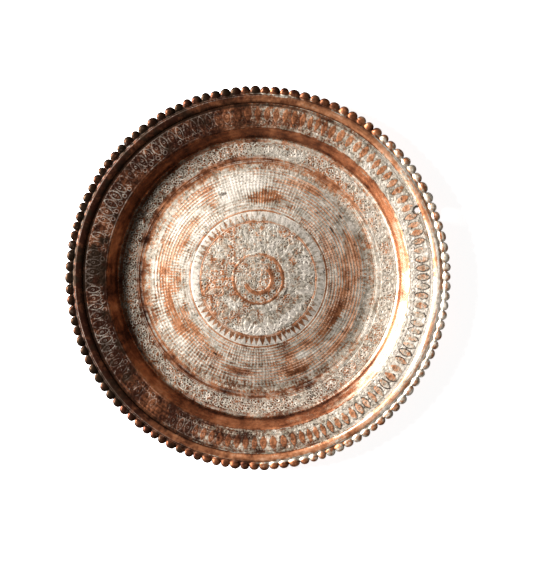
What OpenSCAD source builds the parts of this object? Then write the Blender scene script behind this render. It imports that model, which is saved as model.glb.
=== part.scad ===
// Hammered copper tray with a scalloped, wired rim.
// A shallow round dish lies face up on the flat part of its floor: the origin is
// the centre of the rest face, +Z is up, and the hanging hole lies in the +X +Y
// quarter.
// Four pieces: the raised copper sheet, the tin wash on its face, the rim strip
// folded over the sheet's edge, and the wire that the strip closes over.

/* [Overall] */
// Diameter over the tips of the scallops
tray_d = 260; // [200:1:360]
// Thickness of the copper sheet
sheet_t = 1.0; // [0.6:0.1:2]

/* [Well] */
// Radius of the flat part of the floor, which the tray rests on
flat_r = 80; // [40:0.5:110]
// Radius where the floor's rising border meets the wall
floor_r = 97; // [60:0.5:130]
// Height of the wall's foot above the flat part of the floor
foot_rise = 1.8; // [0.5:0.1:5]
// Radius where the wall meets the flange
wall_top_r = 102.4; // [70:0.5:140]
// Height of the flange's inner edge above the floor
well_depth = 14; // [6:0.5:30]
// Centre-line radius of the bend at the foot of the wall
foot_bend_r = 3.4; // [2:0.1:8]
// Centre-line radius of the bend at the shoulder
shoulder_bend_r = 1.8; // [1:0.1:5]

/* [Flange] */
// Rise of the flange above the horizontal, in degrees
flange_slope = 9; // [0:0.5:25]
// Radius where the sheet ends inside the folded rim strip
sheet_edge_r = 125; // [90:0.5:175]

/* [Rim strip] */
// Inner radius of the rim strip on the face
rim_in_r = 118.6; // [85:0.1:170]
// Inner radius of the strip's lower leaf, on the back
rim_back_r = 120.4; // [85:0.1:170]
// Thickness of the strip
strip_t = 0.5; // [0.4:0.1:1.2]
// Width of the strip's low roll over the wire, measured on the sheet
roll_w = 7.6; // [4:0.1:12]
// Radius where the folded strip ends and the row of scallops begins
fold_r = 126.4; // [90:0.1:180]
// Thickness of the scallops
scallop_t = 2.8; // [1.6:0.1:4]
// Number of scallops round the edge
scallops = 117; // [40:1:200]
// Radius of one scallop in plan
scallop_r = 3.6; // [2.5:0.1:6]

/* [Rim wire] */
// Diameter of the wire under the roll
wire_d = 1.0; // [0.6:0.1:2]
// Clearance between the wire and the strip
wire_gap = 0.05; // [0.02:0.01:0.2]

/* [Tin wash] */
// Thickness of the tin on the face
tin_t = 0.15; // [0.1:0.05:0.3]
// Gap between the tin's outer edge and the rim strip
tin_gap = 0.1; // [0.05:0.05:0.5]

/* [Hanging hole] */
// Radius of the punched hole
hole_r = 1.6; // [1:0.1:4]
// Distance from the tray's centre to the hole's centre
hole_ring_r = 116.8; // [90:0.1:170]
// Direction of the hole, counter-clockwise from +X, in degrees
hole_angle = 24; // [0:1:359]

/* [Hidden] */
$fn = 360;

copper = "#a65334";
worn_copper = "#c4764e";
tin = "#cbc2b4";
iron = "#5a5450";

bend_steps = 10;
arc_steps = 8;
tip_r = tray_d / 2;
scallop_ring_r = tip_r - scallop_r;
pitch = 360 / scallops;
half_t = sheet_t / 2;
wall_angle = atan2(well_depth - foot_rise, wall_top_r - floor_r);
border_angle = atan2(foot_rise, floor_r - flat_r);

// Height of the flange's middle surface at a radius
function flange_z(r) =
    half_t + well_depth + (r - wall_top_r) * tan(flange_slope);

// A point at a radius along the flange, d above its middle surface
function flange_point(r, d) =
    [r - d * sin(flange_slope), flange_z(r) + d * cos(flange_slope)];

// Crease where the floor begins to rise
function crease_point(d) = [flat_r - d * tan(border_angle / 2), half_t + d];

// Bend at the foot of the wall: its centre lies above the border
foot_turn = wall_angle - border_angle;
foot_run = foot_bend_r * tan(foot_turn / 2);
foot_centre = [floor_r, half_t + foot_rise]
    - foot_run * [cos(border_angle), sin(border_angle)]
    + foot_bend_r * [-sin(border_angle), cos(border_angle)];
function foot_points(d) = [
    for (i = [0 : bend_steps])
        let (a = -90 + border_angle + foot_turn * i / bend_steps)
        foot_centre + (foot_bend_r - d) * [cos(a), sin(a)]
];

// Bend at the shoulder: its centre lies behind the wall
shoulder_turn = wall_angle - flange_slope;
shoulder_run = shoulder_bend_r * tan(shoulder_turn / 2);
shoulder_centre = [wall_top_r, half_t + well_depth]
    - shoulder_run * [cos(wall_angle), sin(wall_angle)]
    + shoulder_bend_r * [sin(wall_angle), -cos(wall_angle)];
function shoulder_points(d) = [
    for (i = [0 : bend_steps])
        let (a = 90 + wall_angle - shoulder_turn * i / bend_steps)
        shoulder_centre + (shoulder_bend_r + d) * [cos(a), sin(a)]
];

// Half section of the dish, d above its middle surface, out to a radius
function dish_line(d, r_out) = concat(
    [[0, half_t + d], crease_point(d)],
    foot_points(d),
    shoulder_points(d),
    [flange_point(r_out, d)]
);

function reversed(list) = [for (i = [len(list) - 1 : -1 : 0]) list[i]];

// A skin of the dish between two distances from its middle surface
module dish_skin(d_low, d_high, r_out) {
    rotate_extrude()
        polygon(concat(dish_line(d_low, r_out), reversed(dish_line(d_high, r_out))));
}

// Moves a half section drawn along the flange to where the rim strip starts
module on_flange() {
    translate([rim_in_r, flange_z(rim_in_r)])
        rotate(flange_slope)
            children();
}

// Distance along the flange from the strip's inner lip to a radius
function along(r) = (r - rim_in_r) / cos(flange_slope);

// The hanging hole runs square to the flange, right through it
module hole_cutter(r, h) {
    rotate([0, 0, hole_angle])
        translate([hole_ring_r, 0, flange_z(hole_ring_r)])
            rotate([0, -flange_slope, 0])
                cylinder(h = h, r = r, center = true);
}

module tray_body() {
    color(copper)
        difference() {
            dish_skin(-half_t, half_t, sheet_edge_r);
            hole_cutter(hole_r, 6);
        }
}

module tin_lining() {
    color(tin)
        difference() {
            dish_skin(half_t, half_t + tin_t, rim_in_r - tin_gap);
            hole_cutter(hole_r + 0.2, 6);
        }
}

wire_s = roll_w / 2;
wire_n = half_t + wire_gap + wire_d / 2;

// The roll is an arc: its height and half its width on the sheet give its radius
roll_h = wire_d + 2 * wire_gap + strip_t;
roll_r = (pow(roll_w / 2, 2) + pow(roll_h, 2)) / (2 * roll_h);
roll_n = half_t + roll_h - roll_r;

// Section of the strip: a low roll over the wire on the face, a flat leaf on the
// back, and a fold that closes them beyond the end of the sheet
module strip_section() {
    fold_s = along(fold_r);
    edge_s = along(sheet_edge_r);
    on_flange() {
        // roll, with the hollow where the wire runs; it stands on the sheet's face
        difference() {
            translate([wire_s, roll_n])
                circle(r = roll_r, $fn = 96);
            translate([wire_s, roll_n])
                circle(r = roll_r - strip_t, $fn = 96);
            translate([wire_s - roll_r - 1, half_t - 2 * roll_r])
                square([2 * roll_r + 2, 2 * roll_r]);
        }
        // fold
        translate([edge_s, -half_t - strip_t])
            square([fold_s - edge_s, sheet_t + 2 * strip_t]);
        // leaf on the back
        translate([along(rim_back_r), -half_t - strip_t])
            square([fold_s - along(rim_back_r), strip_t]);
    }
}

// One scallop's outline in plan, from one notch to the next
function scallop_arc(i) =
    let (
        half_gap = scallop_ring_r * sin(pitch / 2),
        sweep = pitch / 2 + asin(half_gap / scallop_r),
        mid = (i + 0.5) * pitch
    )
    [
        for (k = [0 : arc_steps - 1])
            let (a = mid + sweep * (2 * k / arc_steps - 1))
            scallop_ring_r * [cos(mid), sin(mid)] + scallop_r * [cos(a), sin(a)]
    ];

// Row of scallops: a flat ring with a beaded outline, fused to the fold
module scallop_row() {
    translate([0, 0, flange_z(fold_r) - scallop_t / 2])
        linear_extrude(height = scallop_t)
            difference() {
                polygon([for (i = [0 : scallops - 1]) each scallop_arc(i)]);
                circle(r = sheet_edge_r + 0.2);
            }
}

module scalloped_rim() {
    color(worn_copper) {
        rotate_extrude()
            strip_section();
        scallop_row();
    }
}

module rim_wire() {
    color(iron)
        rotate_extrude()
            on_flange()
                translate([wire_s, wire_n])
                    circle(r = wire_d / 2, $fn = 48);
}

tray_body();
tin_lining();
scalloped_rim();
rim_wire();
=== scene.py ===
"""Hammered copper tray with an engraved, tin-washed face and a beaded rim.

The sheet is lathed in rings from the same section as the CAD model, and its face is
then chased in the mesh: every groove, punched circle, hammer facet and bead is
geometry.  The same functions paint four masks on the vertices (tin, cut, grime and
warmth), and the procedural metal materials mix their colours and roughness from these.
Besides wear and dirt, the masks carry painted light and painted shade: tin, copper
tone, chalk and soot are lightened and darkened by the side of the tray.
Lengths are in millimetres until a mesh is made, where they become metres.
"""
import itertools
import math

import bmesh
import bpy
import numpy as np
from mathutils import Matrix, Vector


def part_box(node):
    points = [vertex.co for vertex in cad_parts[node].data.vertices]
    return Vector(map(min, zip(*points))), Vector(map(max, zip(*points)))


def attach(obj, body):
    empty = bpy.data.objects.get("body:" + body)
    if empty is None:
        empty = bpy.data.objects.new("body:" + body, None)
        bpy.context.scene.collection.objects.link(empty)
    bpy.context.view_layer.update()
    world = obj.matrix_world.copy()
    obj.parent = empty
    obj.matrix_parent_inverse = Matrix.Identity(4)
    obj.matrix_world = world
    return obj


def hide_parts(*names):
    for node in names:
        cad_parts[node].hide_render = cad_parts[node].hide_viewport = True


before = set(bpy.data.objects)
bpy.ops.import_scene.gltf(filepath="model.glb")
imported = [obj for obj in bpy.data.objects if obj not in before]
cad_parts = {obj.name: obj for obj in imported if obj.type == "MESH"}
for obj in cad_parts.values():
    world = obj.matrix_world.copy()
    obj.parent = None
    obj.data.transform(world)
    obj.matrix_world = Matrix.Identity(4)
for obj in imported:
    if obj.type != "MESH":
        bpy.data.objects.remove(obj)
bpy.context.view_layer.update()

MM = 0.001
TAU = 2 * math.pi
DEGREES_PER_RADIAN = 57.3

# -------- section of the tray
TIP_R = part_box("scalloped_rim")[1][0] / MM
SHEET_T = 1.0
TIN_T = 0.15
FLAT_R = 80.0
FLOOR_R = 97.0
FOOT_RISE = 1.8
WALL_TOP_R = 102.4
WELL_DEPTH = 14.0
FOOT_BEND = 3.4
SHOULDER_BEND = 1.8
FLANGE_SLOPE = math.radians(9.0)
SHEET_EDGE_R = 125.0

# rim strip: its lip, the low roll over the wire, the lined leaf, and the beads
STRIP_T = 0.5
LIP_R = 118.6
BACK_LIP_R = 120.4
ROLL_R = 121.6
ROLL_HALF = 3.1
ROLL_UP = 0.72
LEAF_LINES = (123.4, 124.4, 125.4)
FOLD_R = 126.4
BEAD_R = 127.1
BEAD_SIZE = 3.0
BEAD_UP = 1.78
SCALLOPS = 117
SCALLOP_R = 3.6
PER_SCALLOP = 12

# hanging hole
HOLE_R = 1.6
HOLE_RING_R = 116.8
HOLE_ANGLE = math.radians(24.0)

# -------- rings of the face
CENTRE_RING = (8.2, 10.6)
CIRCLE_RING_R = 13.7
MEDALLION = (17.9, 39.3)
TEETH = (40.7, 46.1)
FIELD = (48.2, 75.0)
FIELD_LINES = 2.02
FIELD_SPOKES = 184
TICKS = (75.2, 80.2)
BORDER = (84.6, 93.8)
LEAF_BAND = (103.7, 116.5)
SEAM_GROOVES = (116.9, 117.7)

# The sides of the tray that the photo shows bright or shaded, in degrees clockwise
# from +X.  The masks paint this light and shade into the colour: tin, copper tone, chalk
# and soot are lightened as painted light and darkened as painted shade along them.
PAINTED_LIGHT_FLOOR = 24.0
PAINTED_LIGHT_FLANGE = 9.0
PAINTED_LIGHT_LEAVES = 24.0
PAINTED_LIGHT_RIM = 12.0
PAINTED_SHADE_FLOOR = 48.0


# ======== noise
def lattice(ix, iy, iz, seed):
    """A repeatable random number in 0..1 for each whole-number point."""
    h = (
        ix.astype(np.uint32) * np.uint32(374761393)
        + iy.astype(np.uint32) * np.uint32(668265263)
        + iz.astype(np.uint32) * np.uint32(2246822519)
        + np.uint32((seed * 3266489917) & 0xFFFFFFFF)
    )
    h = (h ^ (h >> np.uint32(13))) * np.uint32(1274126177)
    h = h ^ (h >> np.uint32(16))
    return h.astype(np.float64) / 4294967295.0


def noise3(x, y, z, seed):
    """Smooth value noise in 0..1."""
    fx, fy, fz = np.floor(x), np.floor(y), np.floor(z)
    ix, iy, iz = (f.astype(np.int64) for f in (fx, fy, fz))
    tx, ty, tz = (t * t * (3 - 2 * t) for t in (x - fx, y - fy, z - fz))
    total = 0.0
    for dx, dy, dz in itertools.product((0, 1), repeat=3):
        weight = (tx if dx else 1 - tx) * (ty if dy else 1 - ty) * (tz if dz else 1 - tz)
        total = total + weight * lattice(ix + dx, iy + dy, iz + dz, seed)
    return total


def fractal(x, y, z, seed, octaves=4, gain=0.55):
    """Several noises on top of each other, each twice as fine as the last."""
    total, weight, size = 0.0, 1.0, 0.0
    for k in range(octaves):
        f = 2.0 ** k
        total = total + weight * noise3(x * f, y * f, z * f, seed + 17 * k)
        size += weight
        weight *= gain
    return total / size


def blotch(r, th, mm, seed, octaves=4):
    """Noise with the same grain in every direction; mm is its largest feature."""
    return fractal(r * np.cos(th) / mm, r * np.sin(th) / mm, 0.0 * r + 0.5, seed, octaves)


def streak(r, th, across, along, seed, octaves=3):
    """Noise drawn out round the tray: across is its size in mm along a radius, along its
    size in degrees round the ring."""
    k = DEGREES_PER_RADIAN / along
    return fractal(np.cos(th) * k, np.sin(th) * k, r / across, seed, octaves)


def mixed(base, *terms):
    """base plus each (noise, amount), with the noise taken about its middle."""
    for noise, amount in terms:
        base = base + amount * (noise - 0.5)
    return base


# ======== drawing helpers
def smooth(lo, hi, x):
    """0 below lo, 1 above hi, and a soft step between them."""
    t = np.clip((x - lo) / (hi - lo), 0.0, 1.0)
    return t * t * (3 - 2 * t)


def stroke(distance, width):
    """1 on a line of this width, falling to 0 at its edges."""
    return 1 - smooth(0.25 * width, 0.85 * width, np.abs(distance))


def disc(distance, radius, soft=0.35):
    """1 inside a radius, falling to 0 over its soft edge."""
    return 1 - smooth(radius - soft, radius + soft, distance)


def ring_line(r, at, width):
    return stroke(r - at, width)


def between(r, span, soft=0.3):
    """1 between two radii, falling to 0 over their soft edges."""
    low, high = span
    return smooth(low - soft, low + soft, r) * (1 - smooth(high - soft, high + soft, r))


def facing(th, degrees):
    """1 on the side that lies this many degrees clockwise from +X, 0 opposite."""
    return 0.5 + 0.5 * np.cos(th + np.radians(degrees))


def segment(x, y, x0, y0, x1, y1):
    """Distance to a straight stroke."""
    dx, dy = x1 - x0, y1 - y0
    t = np.clip(((x - x0) * dx + (y - y0) * dy) / (dx * dx + dy * dy), 0, 1)
    return np.hypot(x - x0 - t * dx, y - y0 - t * dy)


def vesica(x, y, half_w, half_h):
    """Signed distance to a pointed oval, such as a leaf."""
    radius = (half_h ** 2 + half_w ** 2) / (2 * half_w)
    shift = radius - half_w
    side = np.hypot(np.abs(x) + shift, y) - radius
    tip = np.hypot(x, np.abs(y) - half_h)
    return np.where((np.abs(y) > half_h) & (side > 0), tip, side)


def turned(x, y, angle):
    """The same point, seen from axes turned by an angle."""
    c, s = np.cos(angle), np.sin(angle)
    return x * c + y * s, -x * s + y * c


class Cells:
    """A motif repeated count times round a ring, with a hand-worker's uneven spacing.
    x runs round the ring and y outwards, both in mm from the motif's middle."""

    def __init__(self, r, th, count, middle_r, seed, sway):
        rng = np.random.default_rng(seed)
        drift = sway * (noise3(np.cos(th) * 4, np.sin(th) * 4, 0 * th, seed) - 0.5) * 2
        u = th * count / TAU + drift
        index = np.floor(u).astype(int) % count
        self.pitch = TAU * middle_r / count
        wobble = rng.uniform(-1, 1, (count, 4))[index]
        self.x = (u - np.floor(u) - 0.5) * self.pitch + 0.10 * wobble[:, 0]
        self.y = r - middle_r + 0.22 * wobble[:, 1]
        self.scale = 1 + 0.07 * wobble[:, 2]


class Face:
    """Height and masks at a set of points of the face; drawing functions add to it.

    tin, cut, grime and warm are the masks.  comb, hatch, panel, leaf and bright say
    where the drawing has combed lines, spokes, panels, leaves and teeth, for the wear.
    """

    def __init__(self, r, th):
        self.r, self.th = r, th
        self.h, self.tin, self.cut, self.grime_and_shade, self.warm = np.zeros((5, len(r)))
        self.comb = self.hatch = self.panel = self.leaf = self.bright = 0 * r

    def band(self, span, count, seed, sway):
        """Where a band lies, and the cells of the motif that is repeated round it."""
        return between(self.r, span), Cells(self.r, self.th, count, sum(span) / 2, seed, sway)

    def more_tin(self, amount):
        self.tin = np.maximum(self.tin, amount)

    def more_grime_and_shade(self, amount):
        self.grime_and_shade = np.maximum(self.grime_and_shade, amount)

    def engrave(self, amount, depth):
        """A chased line: lowers the face and marks the cut."""
        self.h -= depth * amount
        self.cut = np.maximum(self.cut, amount)

    def chase(self, zone, depth, *lines):
        """Engraves lines of one depth: the distance to each, its width and strength."""
        for distance, width, strength in lines:
            self.engrave(strength * stroke(distance, width) * zone, depth)

    def grooves(self, depth, width, strength, *radii):
        """Engraves circles round the tray."""
        for at in radii:
            self.engrave(strength * ring_line(self.r, at, width), depth)

    def masks(self):
        return np.stack([self.tin, self.cut, self.grime_and_shade, self.warm], axis=1).clip(0, 1)


# ======== the engraved bands
def nearest_strike(r, th, mm, seed):
    """Distance in mm to the nearest of a jittered set of tool strikes."""
    x, y = r * np.cos(th) / mm, r * np.sin(th) / mm
    fx, fy = np.floor(x).astype(np.int64), np.floor(y).astype(np.int64)
    best = np.full_like(r, 9.0)
    for dx, dy in itertools.product((-1, 0, 1), repeat=2):
        cx, cy = fx + dx, fy + dy
        jx = cx + 0.15 + 0.7 * lattice(cx, cy, 0 * cx, seed)
        jy = cy + 0.15 + 0.7 * lattice(cx, cy, 0 * cx + 1, seed)
        best = np.minimum(best, np.hypot(x - jx, y - jy))
    return best * mm


def hammer(r, th, mm, seed):
    """Overlapping hammer facets: shallow bowls that meet in soft ridges."""
    return np.clip((nearest_strike(r, th, mm, seed) / mm) ** 2, 0, 1.2)


def punched_circle(face, d, ring, dot):
    """A ring punch with a centre prick: pale ring, dark centre."""
    face.h -= 0.07 * stroke(d - ring - 0.35, 0.5)
    face.more_tin(stroke(d - ring + 0.15, 1.1))
    face.more_grime_and_shade(0.9 * disc(d, dot, 0.3))
    face.h -= 0.12 * disc(d, dot, 0.35)


def punched_ground(face, zone, pitch, seed):
    """Small ring punches set close together, as the ground between motifs."""
    d = nearest_strike(face.r, face.th, pitch, seed)
    ring = stroke(d - 0.95, 0.62)
    face.h -= 0.07 * zone * ring
    face.more_tin(zone * ring)
    prick = zone * disc(d, 0.54, 0.25)
    face.h -= 0.10 * prick
    filled = smooth(0.30, 0.58, blotch(face.r, face.th, 4, seed + 1, 2))
    face.more_grime_and_shade(0.90 * prick * filled)


def centre_ring(r, th, soft):
    """The plain copper crescent near the middle: a ring off centre, rubbed out at one
    side."""
    ring = between(r + 0.5 * np.cos(th - 2.4), CENTRE_RING, soft)
    return ring * smooth(0.25, 0.60, 0.55 + 0.5 * np.cos(th + 0.9) + 0.15 * np.cos(3 * th))


def draw_centre(face):
    """A rosette of ring punches, the crescent, and a circle of larger punches."""
    r, th = face.r, face.th
    x, y = r * np.cos(th), r * np.sin(th)
    crescent = centre_ring(r, th, 0.2)
    inside = (1 - smooth(16.2, 16.8, r)) * (1 - crescent)
    punched_ground(face, 0.9 * inside, 2.6, 11)
    for count, start, circle_r, ring, dot in (
        (1, 0.0, 0.0, 1.10, 0.45), (6, 0.3, 4.6, 1.15, 0.5), (14, 0.5, CIRCLE_RING_R, 1.25, 0.6)
    ):
        for k in range(count):
            a = TAU * (k + start) / count
            d = np.hypot(x - circle_r * math.cos(a), y - circle_r * math.sin(a))
            punched_circle(face, d, ring, dot)
    face.h += 0.04 * crescent
    face.grooves(0.08, 0.5, 0.7, CENTRE_RING[0] - 0.2, CENTRE_RING[1] + 0.2, 16.0, 18.5)


def draw_medallion(face):
    """Twelve arches with a tulip in each, on a close ground of ring punches."""
    r, th = face.r, face.th
    zone = between(r, MEDALLION)
    c = Cells(r, th, 12, 28.5, 21, sway=0.05)
    x, y = c.x * (r / 28.5), c.y
    arch = vesica(x, y + 1.5, 6.6 * c.scale, 12.5)
    tulip = vesica(x, y - 3.5, 2.3, 5.6)
    face.chase(zone, 0.07, (arch, 0.7, 1), (tulip, 0.6, 1))
    for side in (-1, 1):
        petal = vesica(*turned(x - side * 3.0, y - 1.6, -side * 0.45), 1.5, 4.6)
        bud = vesica(*turned(x - side * 6.9, y - 7.6, side * 0.6), 1.5, 3.0)
        berry = np.hypot(x - side * 5.6, y + 6.6) - 1.2
        face.chase(zone, 0.06, (petal, 0.5, 1), (bud, 0.5, 1), (berry, 0.5, 1))
    stem = segment(x, y, 0.0, -9.5, 0.0, -2.0)
    face.chase(zone, 0.06, (stem, 0.5, 1))
    leaves = zone * smooth(0.5, -0.3, tulip)
    face.more_tin(0.75 * leaves)
    ground = zone * (1 - 0.75 * leaves) * smooth(0.1, 0.5, np.abs(arch))
    punched_ground(face, ground, 2.7, 23)


def draw_teeth(face):
    """A ring of pale teeth that point inwards, clearest at the bottom of the photo."""
    r, th = face.r, face.th
    zone, c = face.band(TEETH, 72, 31, sway=0.3)
    climb = np.clip((r - TEETH[0]) / (TEETH[1] - TEETH[0]), 0, 1)
    flank = np.abs(c.x) - 0.46 * c.pitch * climb
    clear = 0.36 + 0.64 * smooth(0.25, 0.80, np.cos(th - math.radians(268)))
    clear = clear * smooth(0.12, 0.42, streak(r, th, 9, 14, 33, 3))
    tooth = zone * (1 - smooth(-0.25, 0.15, flank))
    gap = zone * smooth(-0.2, 0.2, flank)
    outline = zone * stroke(flank, 0.55) * smooth(0.35, 0.55, blotch(r, th, 5, 35, 3))
    face.more_tin(tooth * (0.35 + 0.75 * clear))
    face.more_grime_and_shade(np.maximum(0.6 * gap, 0.62 * outline) * (0.2 + 0.8 * clear))
    face.h += 0.025 * tooth
    face.bright = (tooth - 1.6 * gap) * (0.05 + 0.95 * clear)
    face.grooves(0.08, 0.45, 1.0, 39.5, 40.5, 46.5, 48.1)


def draw_field(face):
    """The plain ring: fine turned lines crossed by faint radial hammer work.  lines and
    spokes run from -1 in a groove to 1 on a ridge."""
    r, th = face.r, face.th
    zone = between(r, FIELD, 0.5)
    strength = smooth(0.30, 0.62, streak(r, th, 5.0, 26, 43, 3))
    sway = 0.8 * (streak(r, th, 14.0, 50, 41, 2) - 0.5)
    lines = 2 * smooth(-0.5, 0.9, np.cos(TAU * (r + sway) / FIELD_LINES)) - 1
    face.h += 0.026 * zone * lines * (0.30 + 0.70 * strength)
    face.comb = zone * lines * (0.25 + 0.75 * strength)
    beat = 3.0 * noise3(np.cos(th) * 9, np.sin(th) * 9, r / 9, 45)
    spokes = 2 * smooth(-0.5, 0.9, np.cos(th * FIELD_SPOKES + beat)) - 1
    hatch = smooth(0.38, 0.62, streak(r, th, 9.0, 18, 47, 3))
    face.h += 0.022 * zone * spokes * hatch
    face.hatch = zone * hatch * spokes


def draw_ticks(face):
    """A zigzag with dots between its teeth, and the grooves outside it."""
    r, th = face.r, face.th
    zone, c = face.band(TICKS, 150, 51, sway=0.35)
    run = np.abs(c.x) / (0.5 * c.pitch)
    zigzag = c.y - (run - 0.5) * 3.2
    dots = np.hypot(c.x, c.y + 1.9) - 0.1
    faded = 0.35 + 0.65 * smooth(0.4, 0.6, streak(r, th, 20, 25, 53, 2))
    face.chase(zone, 0.06, (zigzag, 0.7, faded))
    face.chase(zone, 0.05, (dots, 0.6, faded))
    for at in (80.5, 81.4, 83.4, 84.2):
        face.grooves(0.08, 0.5, 0.9, at + 0.25 * np.sin(th + at))


def draw_border(face):
    """Cartouches with a flower each, between pairs of leaves, on a punched ground."""
    th = face.th
    zone, c = face.band(BORDER, 36, 61, sway=0.12)
    x, y = c.x, c.y
    cartouche = vesica(y, x, 3.9, 6.4)
    face.chase(zone, 0.07, (cartouche, 0.65, 1))
    face.more_tin(zone * stroke(cartouche, 0.65))
    for k in range(6):
        a = TAU * k / 6
        d = np.hypot(x - 1.9 * math.cos(a), y - 1.9 * math.sin(a))
        petal = zone * stroke(d - 0.85, 0.5)
        face.h -= 0.06 * petal
        face.more_tin(petal)
    heart = zone * disc(np.hypot(x, y), 0.4, 0.3)
    face.h -= 0.08 * heart
    face.more_grime_and_shade(0.8 * heart)
    gap = c.pitch / 2 - np.abs(x)
    for side in (-1, 1):
        berry = np.hypot(x - side * 4.4, y) - 0.7
        leaf = vesica(*turned(gap - 0.4, y - side * 2.4, side * 0.7), 0.95, 2.3)
        face.chase(zone, 0.06, (berry, 0.5, 1), (leaf, 0.5, 1))
    face.panel = zone * smooth(0.4, -0.6, np.maximum(np.abs(x) - 6.0, np.abs(y) - 3.5))
    punched_ground(face, zone * smooth(0.2, 0.6, np.abs(cartouche)), 2.6, 63)
    for at in (84.4, 94.1, 95.2, 96.0):
        face.grooves(0.07, 0.5, 0.8, at + 0.3 * np.sin(th * 2 + at))


def draw_leaf_band(face):
    """The flange: a row of leaves with a ring punch in each, and curls between."""
    r, th = face.r, face.th
    zone, c = face.band(LEAF_BAND, SCALLOPS, 71, sway=0.45)
    x, y = c.x, c.y
    leaf = vesica(x, y - 1.3, 2.15 * c.scale, 4.9)
    eye = np.hypot(x, y - 1.5)
    face.chase(zone, 0.08, (leaf, 0.75, 1))
    face.chase(zone, 0.06, (eye - 0.75, 0.5, 1))
    for side in (-1, 1):
        vein = segment(x, y, 0.0, 2.6, side * 1.5, 4.0)
        lobe = np.hypot(x - side * 1.9, y + 2.6) - 0.8
        up = 1.5 + 2.4 * side
        bar = segment(x, y, -0.8, up, 0.8, up)
        face.chase(zone, 0.05, (vein, 0.4, 0.8), (lobe, 0.45, 0.9), (bar, 0.4, 0.8))
    between_x = c.pitch / 2 - np.abs(x)
    curl = np.hypot(between_x, y + 4.1)
    spur = segment(between_x, y, 0.0, -1.6, 0.0, 2.4)
    notch = vesica(between_x, y - 5.2, 1.0, 1.6)
    face.chase(zone, 0.07, (curl - 1.35, 0.6, 1))
    face.chase(zone, 0.06, (spur, 0.5, 0.8), (notch, 0.5, 0.8))

    # Painted shade: on the bright side the leaves' outlines and the cuts are painted dark, broken
    # up by a blotch, so that they read dark against the lit metal.
    bright = facing(th, PAINTED_LIGHT_LEAVES)
    dirt = (0.45 + 0.55 * smooth(0.38, 0.56, blotch(r, th, 6, 75, 3))) * zone * bright
    pupil = zone * disc(eye, 0.32, 0.25)
    face.h -= 0.08 * pupil
    for amount in (
        0.86 * dirt * stroke(leaf, 1.0), 0.8 * pupil, 0.7 * zone * disc(curl, 0.4, 0.3),
        0.70 * dirt * face.cut,
    ):
        face.more_grime_and_shade(amount)
    face.leaf = zone * (1 - smooth(-0.5, 0.1, leaf))
    punched_ground(face, 0.8 * zone * smooth(0.0, 0.5, leaf), 2.5, 73)
    wander = 0.25 * np.sin(3 * th + 1.0) + 0.15 * np.sin(7 * th)
    face.grooves(0.08, 0.55, 0.9, 103.4 + 0.5 * wander, LEAF_BAND[1] + 0.1 + 0.5 * wander)
    # The seam grooves are dark all round, and darker on the dull side as painted shade.
    for at in SEAM_GROOVES:
        line = ring_line(r, at + 0.3 * wander, 0.7)
        face.h -= 0.12 * line
        face.more_grime_and_shade((0.90 - 0.30 * bright) * line)


def draw_hole(face):
    """A dished, torn edge round the punched hanging hole, with painted shade in a dark ring
    round the dish, darkest on one side, and pale tin painted inside the dish on the other
    side as a painted highlight.
    """
    x = face.r * np.cos(face.th) - HOLE_RING_R * math.cos(HOLE_ANGLE)
    y = face.r * np.sin(face.th) - HOLE_RING_R * math.sin(HOLE_ANGLE)
    d = np.hypot(x, y)
    dish = 1 - smooth(HOLE_R, 3.2, d)
    face.h -= 0.35 * dish
    # The side of the hole that is painted darkest, as painted shade; the painted highlight lies on
    # the other side.
    rubbed = smooth(-0.3, 0.6, (x + 0.8 * y) / (d + 0.01))
    lip = stroke(d - 2.7, 1.2) * (0.75 + 0.25 * rubbed)
    face.grime_and_shade = np.maximum(face.grime_and_shade * (1 - dish), lip)
    face.cut = face.cut * (1 - 0.8 * dish)
    face.more_tin(0.9 * dish * (1 - rubbed))
    face.warm += 0.4 * dish


# ======== wear, tin and dirt, with painted light and shade
# Places where the tin has worn through, as an owner would point them out: direction in
# degrees, radius, half length round the ring and half width in mm, and strength
WORN_PATCHES = (
    (14, 68, 17, 4.0, 0.9), (8, 61, 12, 5.0, 0.6), (24, 53, 10, 3.0, 0.7),
    (62, 72, 13, 2.6, 0.9), (72, 69, 12, 2.4, 0.6), (84, 58, 13, 5.5, 0.8),
    (128, 71, 24, 3.2, 0.8), (120, 64, 7, 7.0, 0.6), (150, 59, 19, 4.5, 0.8),
    (165, 66, 14, 7.0, 0.7), (181, 60, 15, 9.0, 0.6), (205, 64, 22, 3.6, 0.8),
    (214, 57, 19, 4.0, 0.7), (238, 61, 11, 3.2, 0.6), (258, 66, 10, 2.6, 0.8),
    (294, 66, 14, 6.0, 0.9), (302, 57, 15, 3.5, 0.7), (322, 71, 21, 2.2, 0.9),
    (332, 57, 13, 5.0, 0.7), (346, 62, 13, 7.0, 0.7), (51, 86, 22, 2.6, 0.9),
    (36, 84, 12, 2.2, 0.7), (228, 90, 16, 3.0, 0.6), (196, 89, 20, 3.0, 0.5),
    (170, 90, 20, 3.0, 0.5), (120, 90, 26, 3.0, 0.4), (262, 88, 26, 3.0, 0.4),
    (212, 36, 8, 6.0, 0.9), (196, 33, 7, 5.0, 0.7), (240, 33, 8, 4.0, 0.8),
    (62, 37, 6, 3.5, 0.8), (30, 27, 7, 2.0, 0.8), (318, 24, 6, 2.0, 0.6),
    (318, 37, 9, 1.6, 0.9), (330, 30, 4, 1.5, 0.6),
)
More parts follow.
